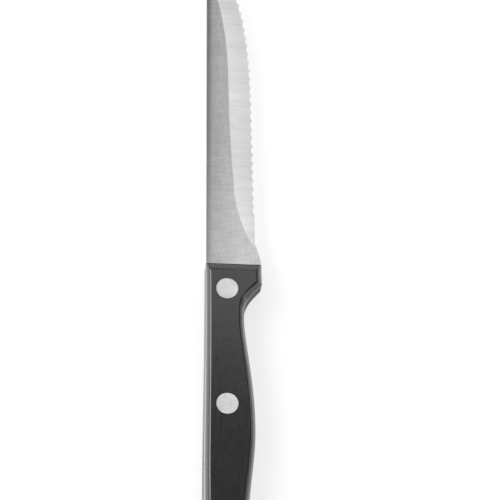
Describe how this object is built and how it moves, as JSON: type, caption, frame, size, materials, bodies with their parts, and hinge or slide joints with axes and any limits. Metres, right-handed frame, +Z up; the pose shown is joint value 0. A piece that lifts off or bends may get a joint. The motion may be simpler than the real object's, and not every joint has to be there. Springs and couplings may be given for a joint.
{
  "type": "steak knife",
  "caption": "Steak knife with a serrated stainless blade, a full tang and black plastic handle scales held by flush round rivets.",
  "frame": {"origin": "on the flat face that the knife rests on, on the rivet line, midway between the front and middle rivets", "axes": "+X along the knife to its tip, +Y across to the spine, +Z up out of the resting face"},
  "size_m": [0.235, 0.0204, 0.0097],
  "materials": {
    "blade_steel": "finely brushed stainless steel, with coarser grinding marks across the bevel",
    "handle_plastic": "smooth moulded black plastic with a soft gloss",
    "rivet_steel": "satin steel, ground flush with the handle"
  },
  "bodies": {
    "root": {"blade": "blade_steel", "upper_scale": "handle_plastic", "lower_scale": "handle_plastic", "front_rivet_pin": "rivet_steel", "front_rivet_socket": "rivet_steel", "middle_rivet_pin": "rivet_steel", "middle_rivet_socket": "rivet_steel", "rear_rivet_pin": "rivet_steel", "rear_rivet_socket": "rivet_steel"}
  },
  "joints": []
}
